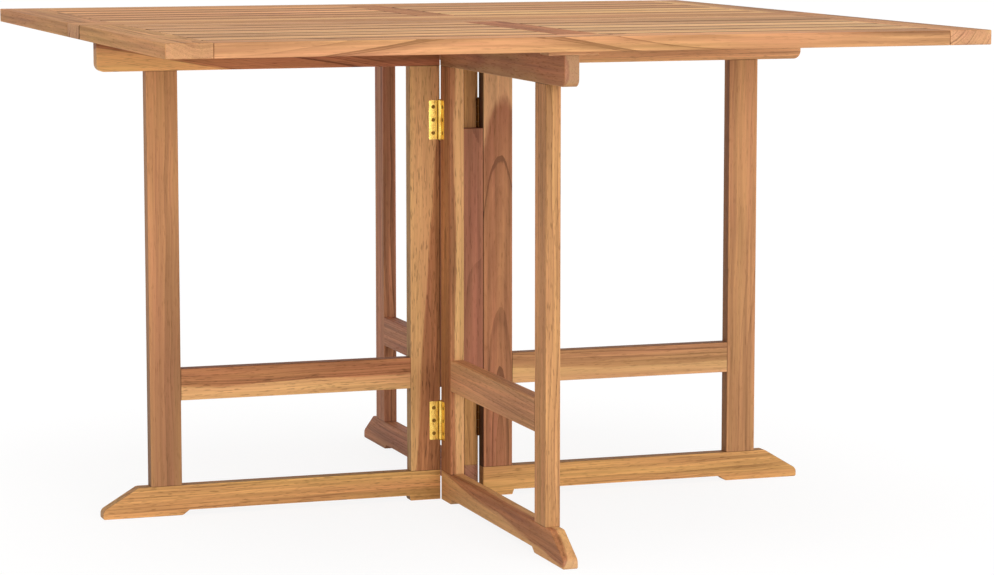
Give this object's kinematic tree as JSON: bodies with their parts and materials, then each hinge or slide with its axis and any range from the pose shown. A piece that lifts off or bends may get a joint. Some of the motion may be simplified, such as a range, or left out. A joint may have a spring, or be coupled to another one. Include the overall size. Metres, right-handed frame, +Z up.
{
  "type": "folding garden table",
  "caption": "Square slatted wooden garden table on a fixed core, with two hinged leaves carried by two swing-out gate frames on brass hinges.",
  "frame": {"origin": "on the floor, under the middle of the table top", "axes": "+X along the spine board to the right, +Y to the back, +Z up"},
  "size_m": [1.2, 1.2, 0.745],
  "materials": {
    "teak_top": "oiled teak, eased edges",
    "teak_rail": "oiled teak",
    "teak_post": "oiled teak",
    "teak_dark": "oiled teak heartwood",
    "teak_pale": "plain sanded",
    "brass": "bright plated brass",
    "steel": "zinc plated"
  },
  "bodies": {
    "core": {"left_foot": "teak_rail", "left_leg": "teak_post", "left_post": "teak_post", "left_stretcher": "teak_rail", "left_top_rail": "teak_rail", "post_hinge_flaps": "brass", "post_hinge_pins": "brass", "post_hinge_screws": "brass", "right_foot": "teak_rail", "right_leg": "teak_post", "right_post": "teak_post", "right_stretcher": "teak_rail", "right_top_rail": "teak_rail", "spacer_board": "teak_dark", "spacer_dowels": "teak_pale", "spine_board": "teak_top", "spine_hinge_flaps": "brass", "spine_hinge_pins": "brass", "spine_hinge_screws": "brass", "spine_plugs": "teak_top", "spine_screws": "steel"},
    "front_gate": {"front_gate_foot": "teak_rail", "front_gate_hinge_flaps": "brass", "front_gate_hinge_screws": "brass", "front_gate_leg": "teak_post", "front_gate_post": "teak_post", "front_gate_stretcher": "teak_rail", "front_gate_top_rail": "teak_rail"},
    "back_gate": {"back_gate_foot": "teak_rail", "back_gate_hinge_flaps": "brass", "back_gate_hinge_screws": "brass", "back_gate_leg": "teak_post", "back_gate_post": "teak_post", "back_gate_stretcher": "teak_rail", "back_gate_top_rail": "teak_rail"},
    "front_leaf": {"front_leaf_hinge_flaps": "brass", "front_leaf_hinge_screws": "brass", "front_leaf_inner_rail": "teak_top", "front_leaf_keeper": "teak_top", "front_leaf_keeper_screws": "brass", "front_leaf_left_slats": "teak_top", "front_leaf_left_stile": "teak_top", "front_leaf_middle_stile": "teak_top", "front_leaf_outer_rail": "teak_top", "front_leaf_right_slats": "teak_top", "front_leaf_right_stile": "teak_top"},
    "back_leaf": {"back_leaf_hinge_flaps": "brass", "back_leaf_hinge_screws": "brass", "back_leaf_inner_rail": "teak_top", "back_leaf_keeper": "teak_top", "back_leaf_keeper_screws": "brass", "back_leaf_left_slats": "teak_top", "back_leaf_left_stile": "teak_top", "back_leaf_middle_stile": "teak_top", "back_leaf_outer_rail": "teak_top", "back_leaf_right_slats": "teak_top", "back_leaf_right_stile": "teak_top"}
  },
  "joints": [
    {"name": "front_gate_swing", "type": "hinge", "parent": "core", "child": "front_gate", "pos_m": [-0.0346, -0.0114, 0.3575], "axis": [0, 0, -1], "range_deg": [0, 90]},
    {"name": "back_gate_swing", "type": "hinge", "parent": "core", "child": "back_gate", "pos_m": [0.0346, 0.0114, 0.3575], "axis": [0, 0, -1], "range_deg": [0, 90]},
    {"name": "front_leaf_lift", "type": "hinge", "parent": "core", "child": "front_leaf", "pos_m": [0, -0.0445, 0.7212], "axis": [-1, 0, 0], "range_deg": [0, 6]},
    {"name": "back_leaf_lift", "type": "hinge", "parent": "core", "child": "back_leaf", "pos_m": [0, 0.0445, 0.7212], "axis": [1, 0, 0], "range_deg": [0, 6]}
  ]
}
